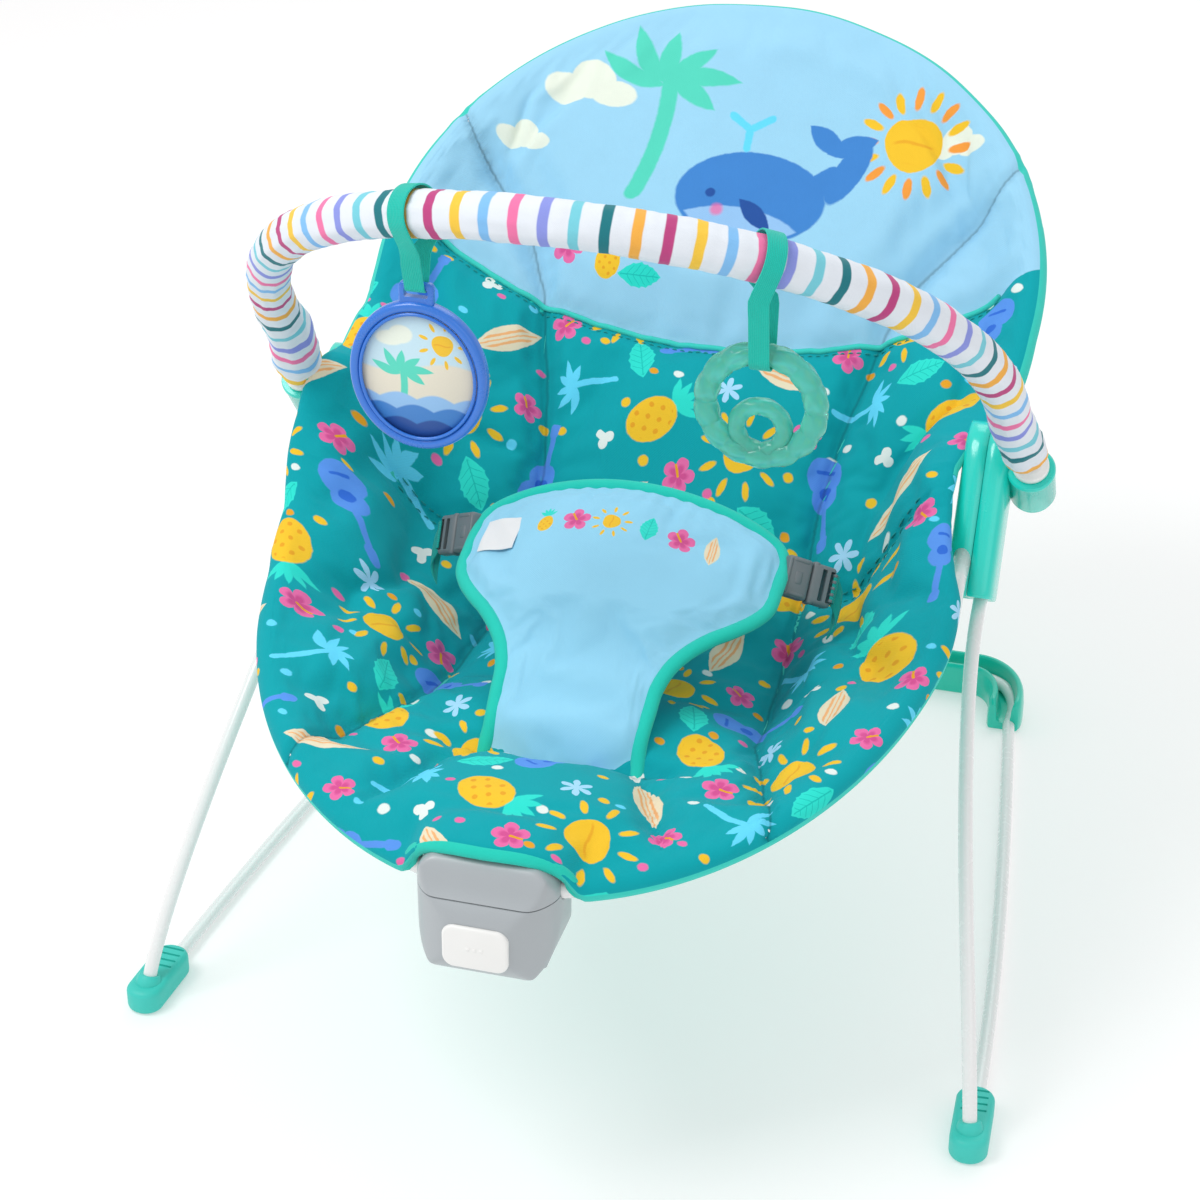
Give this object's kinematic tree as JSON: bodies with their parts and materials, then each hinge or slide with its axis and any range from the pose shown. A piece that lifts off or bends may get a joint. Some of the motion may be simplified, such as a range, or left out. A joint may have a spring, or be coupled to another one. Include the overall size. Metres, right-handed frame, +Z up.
{
  "type": "bouncer seat",
  "caption": "Wire-framed baby bouncer seat with a quilted fabric bucket, waist harness, removable toy bar with hanging toys and a battery vibration unit.",
  "frame": {"origin": "on the floor, under the centre of the object's bounding box", "axes": "+Z up, the seated baby faces -Y, +X is the right-hand side seen from the front"},
  "size_m": [0.4898, 0.6151, 0.5048],
  "materials": {
    "white_wire": "smooth white powder coat",
    "mint_plastic": "satin moulded mint plastic",
    "mint_rubber": "matt moulded rubber",
    "teal_print": "quilted printed polyester",
    "sky_fabric": "padded woven polyester",
    "striped_sleeve": "gathered striped fabric",
    "teal_webbing": "ribbed webbing",
    "mint_strap": "soft woven tape",
    "grey_plastic": "fine satin grey plastic",
    "buckle_plastic": "dark grey moulded nylon",
    "white_plastic": "smooth white plastic",
    "screw_steel": "zinc-plated steel",
    "blue_plastic": "smooth blue plastic",
    "cream_card": "printed plastic card",
    "mirror_face": "silvered plastic mirror",
    "mint_gel": "clear mint silicone",
    "battery_jacket": "dark plain jacket",
    "circuit_green": "green circuit board",
    "white_label": "plain white tape"
  },
  "bodies": {
    "base": {"floor_rod_right": "white_wire", "floor_rod_left": "white_wire", "front_foot_right": "mint_rubber", "front_foot_left": "mint_rubber", "rear_grip_right": "mint_rubber", "rear_grip_left": "mint_rubber", "rear_support": "mint_plastic"},
    "seat": {"leg_rod_right": "white_wire", "leg_rod_left": "white_wire", "hub_outer_right": "mint_plastic", "hub_outer_left": "mint_plastic", "hub_inner_right": "mint_plastic", "hub_inner_left": "mint_plastic", "hub_screw_upper_right": "screw_steel", "hub_screw_upper_left": "screw_steel", "hub_screw_lower_right": "screw_steel", "hub_screw_lower_left": "screw_steel", "buckle_female_right": "buckle_plastic", "buckle_female_left": "buckle_plastic", "waist_strap_right": "teal_webbing", "waist_strap_left": "teal_webbing", "case_screw_right": "screw_steel", "case_screw_left": "screw_steel", "back_frame_tube": "white_wire", "seat_frame_tube": "white_wire", "seat_pad": "teal_print", "harness_panel": "sky_fabric", "care_label": "white_label", "unit_upper_casing": "grey_plastic", "unit_lower_casing": "grey_plastic", "circuit_board": "circuit_green", "battery": "battery_jacket", "battery_contact_positive": "screw_steel", "battery_contact_negative": "screw_steel", "vibration_motor": "screw_steel"},
    "toy_bar": {"toy_bar_rod": "white_plastic", "toy_bar_sleeve": "striped_sleeve", "toy_bar_plug_right": "white_plastic", "toy_bar_plug_left": "white_plastic"},
    "mirror_toy": {"mirror_frame": "blue_plastic", "mirror_card": "cream_card", "mirror_sheet": "mirror_face", "mirror_strap": "mint_strap"},
    "teether_toy": {"teether_ring": "mint_gel", "teether_strap": "mint_strap"},
    "button": {"power_button": "white_plastic"},
    "door": {"battery_door": "grey_plastic"},
    "door_screw": {"door_screw": "screw_steel"},
    "eccentric_weight": {"motor_weight": "screw_steel"},
    "buckle_right": {"buckle_male_right": "buckle_plastic"},
    "buckle_left": {"buckle_male_left": "buckle_plastic"}
  },
  "joints": [
    {"name": "bounce", "type": "hinge", "parent": "base", "child": "seat", "pos_m": [0, -0.193, 0.0125], "axis": [1, 0, 0], "range_deg": [-6, 2], "stiffness_Nm_per_rad": 250, "springref_deg": 0.8},
    {"name": "toy_bar_lift", "type": "slide", "parent": "seat", "child": "toy_bar", "axis": [0, -0.6018, 0.7986], "range_m": [0, 0.032]},
    {"name": "mirror_swing", "type": "hinge", "parent": "toy_bar", "child": "mirror_toy", "pos_m": [-0.0707, -0.16026, 0.48547], "axis": [0.9277, -0.2967, 0.2265], "range_deg": [-35, 35]},
    {"name": "teether_swing", "type": "hinge", "parent": "toy_bar", "child": "teether_toy", "pos_m": [0.1, -0.14848, 0.47635], "axis": [0.8486, 0.416, -0.3267], "range_deg": [-35, 35]},
    {"name": "power_press", "type": "slide", "parent": "seat", "child": "button", "axis": [0, 1, 0], "range_m": [0, 0.0016], "stiffness_N_per_m": 400},
    {"name": "door_off", "type": "slide", "parent": "seat", "child": "door", "axis": [0, 0.0567, -0.9984], "range_m": [0, 0.02]},
    {"name": "door_screw_turn", "type": "hinge", "parent": "door", "child": "door_screw", "pos_m": [0, -0.27998, 0.14258], "axis": [0, -0.0567, 0.9984], "continuous": true},
    {"name": "motor_spin", "type": "hinge", "parent": "seat", "child": "eccentric_weight", "pos_m": [0.0015, -0.2835, 0.16], "axis": [1, 0, 0], "continuous": true},
    {"name": "buckle_right_release", "type": "slide", "parent": "seat", "child": "buckle_right", "axis": [0.8029, 0.4215, -0.4215], "range_m": [0, 0.014], "deforming": ["waist_strap_right"]},
    {"name": "buckle_left_release", "type": "slide", "parent": "seat", "child": "buckle_left", "axis": [-0.8029, 0.4215, -0.4215], "range_m": [0, 0.014], "deforming": ["waist_strap_left"]}
  ]
}
